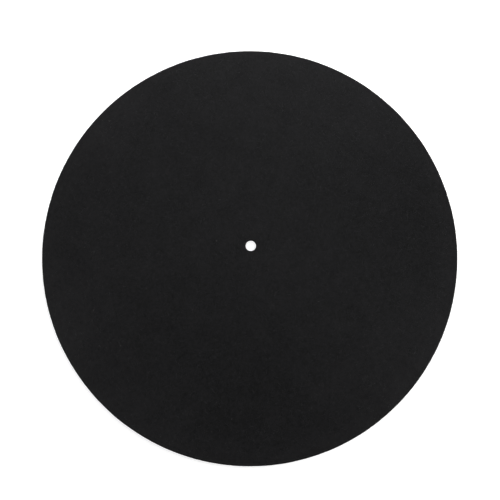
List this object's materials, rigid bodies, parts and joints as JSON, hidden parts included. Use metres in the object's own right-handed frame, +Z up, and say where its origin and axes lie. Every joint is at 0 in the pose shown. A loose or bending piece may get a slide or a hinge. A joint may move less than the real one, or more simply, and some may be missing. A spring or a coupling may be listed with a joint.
{
  "type": "turntable platter mat",
  "caption": "Flat round mat of thick black felt with a spindle hole at its centre, laid on a turntable platter to carry and cushion a record.",
  "frame": {"origin": "centre of the spindle hole, on the underside that lies on the platter", "axes": "+Z up along the spindle, out of the face that the record lies on; the mat is round about Z, so X and Y are alike"},
  "size_m": [0.295, 0.295, 0.003],
  "materials": {
    "felt": "matte black wool felt, pressed and die-cut, with a soft nap"
  },
  "bodies": {
    "root": {"felt_mat": "felt"}
  },
  "joints": []
}
